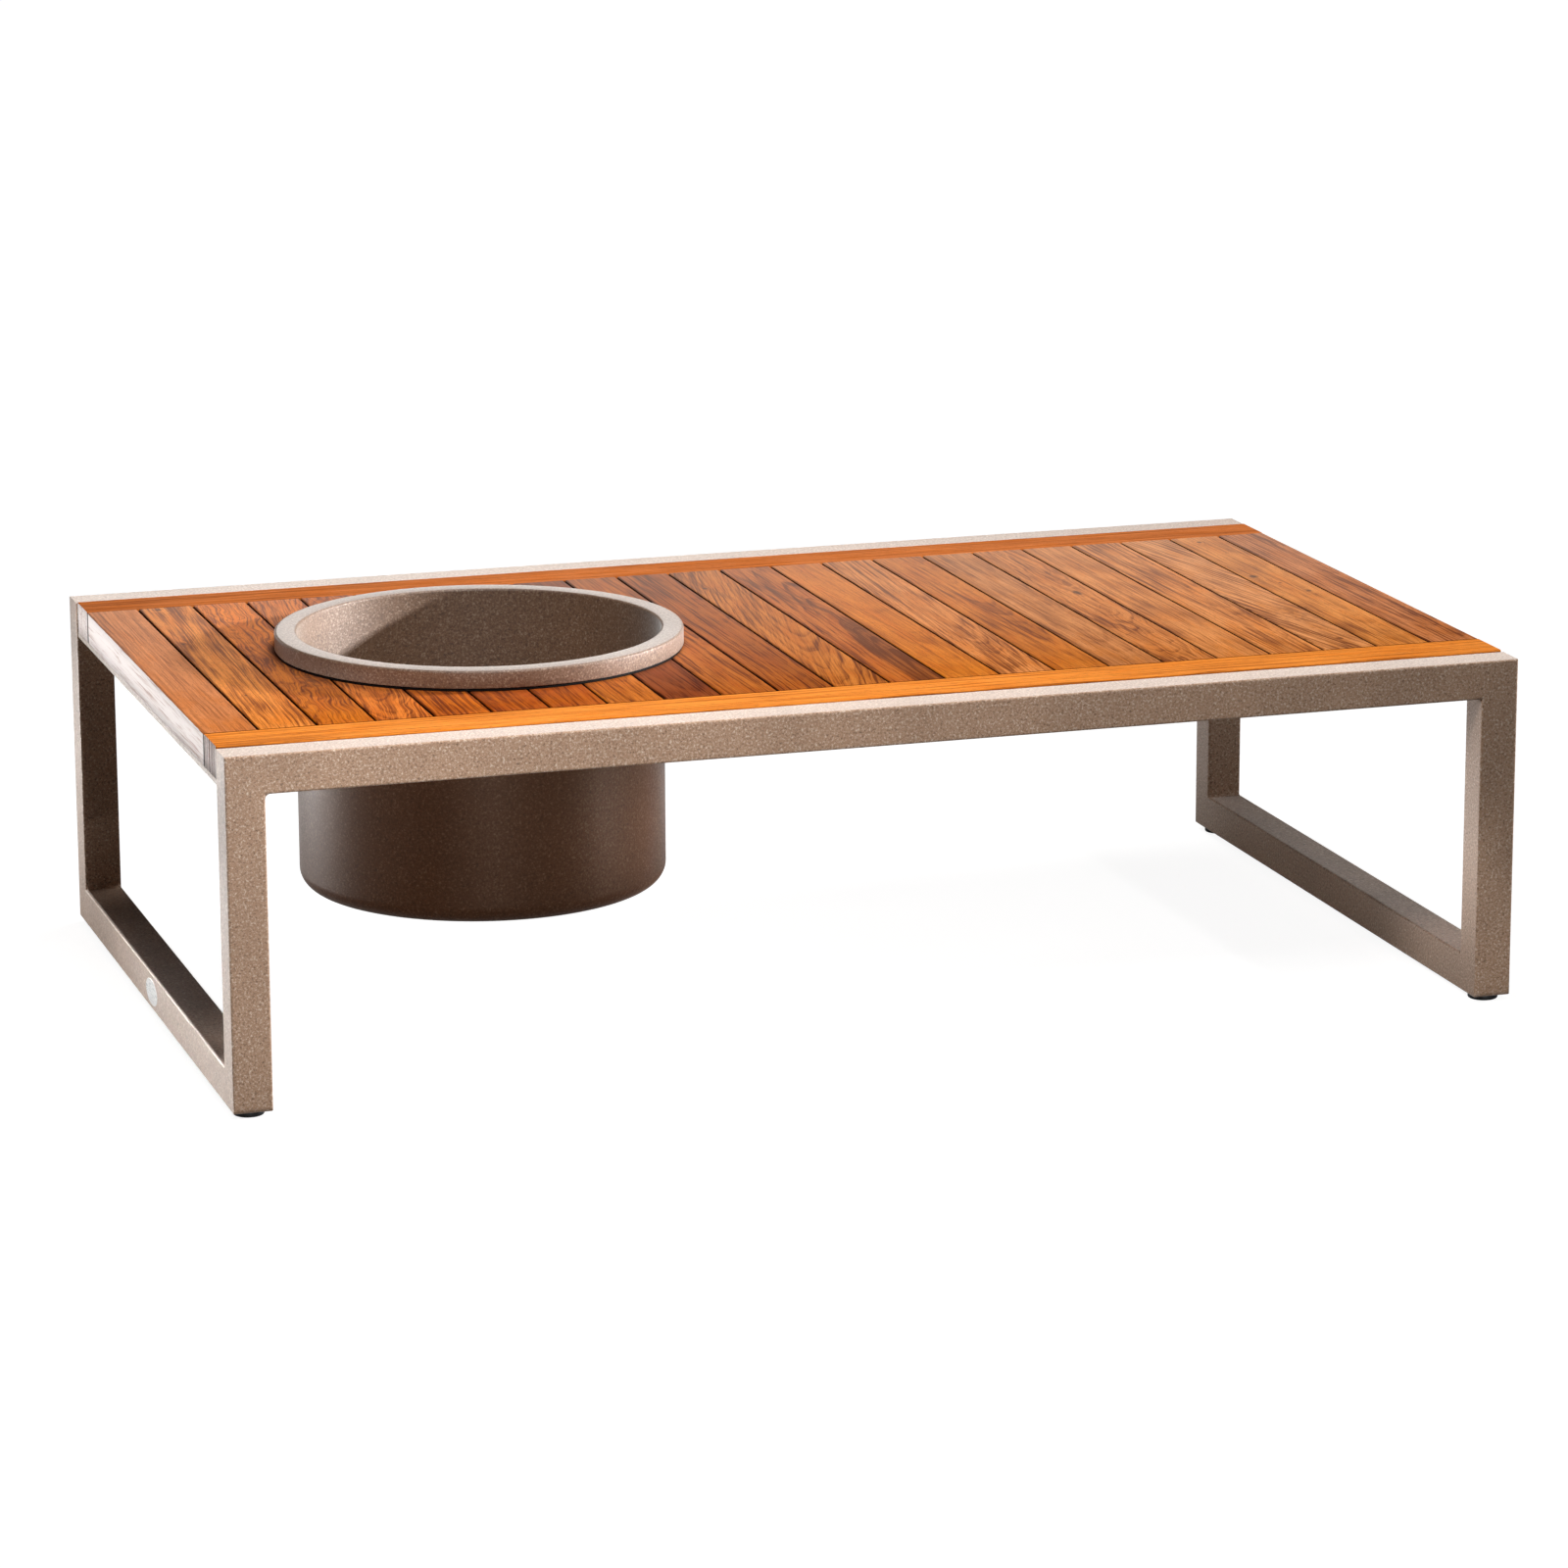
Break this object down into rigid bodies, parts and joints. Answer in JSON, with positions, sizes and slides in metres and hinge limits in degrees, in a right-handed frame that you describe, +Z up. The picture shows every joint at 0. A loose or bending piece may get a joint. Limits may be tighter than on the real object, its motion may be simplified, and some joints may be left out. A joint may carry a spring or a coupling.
{
  "type": "ice bucket coffee table",
  "caption": "Low rectangular slatted teak table on two sled legs of square metal tube, with a round lift-out ice tub hung through the top near one end.",
  "frame": {"origin": "on the floor, under the middle of the table", "axes": "+X along the table's length, away from the tub's end; +Y from front to back; +Z up"},
  "size_m": [1.3, 0.756, 0.372],
  "materials": {
    "bronze_coat": "textured bronze powder coat on aluminium, satin",
    "hidden_coat": "the same powder coat, on the bars under the wood",
    "teak_slat": "oiled reclaimed teak, every slat of its own tone",
    "teak_batten": "oiled straight-grained teak",
    "glide_plastic": "black polyamide",
    "gasket_rubber": "black foam rubber"
  },
  "bodies": {
    "table": {"front_rail": "bronze_coat", "back_rail": "bronze_coat", "left_foot_rail": "bronze_coat", "right_foot_rail": "bronze_coat", "front_left_leg": "bronze_coat", "front_right_leg": "bronze_coat", "back_left_leg": "bronze_coat", "back_right_leg": "bronze_coat", "front_left_glide": "glide_plastic", "front_right_glide": "glide_plastic", "back_left_glide": "glide_plastic", "back_right_glide": "glide_plastic", "front_ledge": "hidden_coat", "back_ledge": "hidden_coat", "left_end_bar": "hidden_coat", "right_end_bar": "hidden_coat", "bucket_left_bar": "hidden_coat", "bucket_right_bar": "hidden_coat", "cross_bar_1": "hidden_coat", "cross_bar_2": "hidden_coat", "carrier_ring": "hidden_coat", "front_batten": "teak_batten", "back_batten": "teak_batten", "slat_01": "teak_slat", "slat_02": "teak_slat", "slat_03": "teak_slat", "front_short_slat_1": "teak_slat", "back_short_slat_1": "teak_slat", "front_short_slat_2": "teak_slat", "back_short_slat_2": "teak_slat", "front_short_slat_3": "teak_slat", "back_short_slat_3": "teak_slat", "front_short_slat_4": "teak_slat", "back_short_slat_4": "teak_slat", "front_short_slat_5": "teak_slat", "back_short_slat_5": "teak_slat", "front_short_slat_6": "teak_slat", "back_short_slat_6": "teak_slat", "slat_04": "teak_slat", "slat_05": "teak_slat", "slat_06": "teak_slat", "slat_07": "teak_slat", "slat_08": "teak_slat", "slat_09": "teak_slat", "slat_10": "teak_slat", "slat_11": "teak_slat", "slat_12": "teak_slat", "slat_13": "teak_slat", "slat_14": "teak_slat", "slat_15": "teak_slat", "slat_16": "teak_slat", "slat_17": "teak_slat", "bucket_gasket": "gasket_rubber"},
    "tub": {"bucket": "bronze_coat"}
  },
  "joints": [
    {"name": "bucket_lift", "type": "slide", "parent": "table", "child": "tub", "axis": [0, 0, 1], "range_m": [0, 0.28]}
  ]
}
